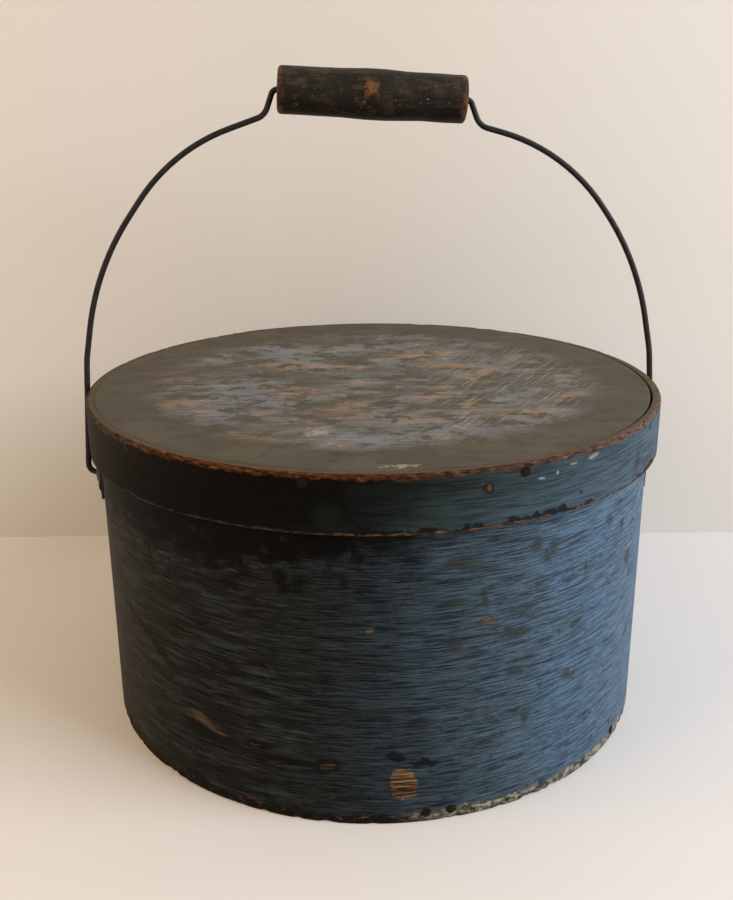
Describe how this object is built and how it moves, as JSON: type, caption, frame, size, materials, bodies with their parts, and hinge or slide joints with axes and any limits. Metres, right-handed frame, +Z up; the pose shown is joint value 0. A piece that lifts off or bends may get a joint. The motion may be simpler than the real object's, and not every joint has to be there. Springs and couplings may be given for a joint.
{
  "type": "round bentwood pantry box",
  "caption": "Round lidded bentwood box in worn blue paint, with a lapped and nailed body and lid, domed iron ears, a swinging wire bail and a turned wooden grip.",
  "frame": {"origin": "centre of the round base, on the surface that the box stands on", "axes": "+Z up, +X along the bail's pivot axis to the right as seen from the front, -Y to the front"},
  "size_m": [0.3186, 0.304, 0.3372],
  "materials": {
    "box_wood_painted": "thin blue-grey paint, worn and grimy",
    "lid_band_painted": "thin blue-grey paint, worn to orange wood at its edges",
    "lid_board_painted": "blue-grey paint worn and scratched over brown wood",
    "board_wood_bare": "bare, aged",
    "bail_iron": "dark drawn wire, lightly polished by use",
    "ear_iron": "dark sheet iron, lightly rusted",
    "iron_nails": "rusty brown-black",
    "grip_wood": "near-black paint, hand-worn to brown wood"
  },
  "bodies": {
    "box": {"body_hoop": "box_wood_painted", "bottom_board": "board_wood_bare", "bottom_nails": "iron_nails", "body_lap_tacks": "iron_nails", "bail_ear_left": "ear_iron", "bail_ear_right": "ear_iron", "ear_rivets_left": "iron_nails", "ear_rivets_right": "iron_nails", "ear_roves_left": "iron_nails", "ear_roves_right": "iron_nails"},
    "lid": {"lid_board": "lid_board_painted", "lid_band": "lid_band_painted", "lid_nails": "iron_nails", "lid_lap_tacks": "iron_nails"},
    "bail": {"bail_wire": "bail_iron"},
    "grip": {"bail_grip": "grip_wood"}
  },
  "joints": [
    {"name": "lid_lift", "type": "slide", "parent": "box", "child": "lid", "axis": [0, 0, 1], "range_m": [0, 0.0205]},
    {"name": "bail_swing", "type": "hinge", "parent": "box", "child": "bail", "pos_m": [0, 0, 0.125], "axis": [1, 0, 0], "range_deg": [-111, 133]},
    {"name": "grip_spin", "type": "hinge", "parent": "bail", "child": "grip", "pos_m": [0.0026, 0.03828, 0.32191], "axis": [0.9982, -0.0113, -0.0582], "continuous": true}
  ]
}
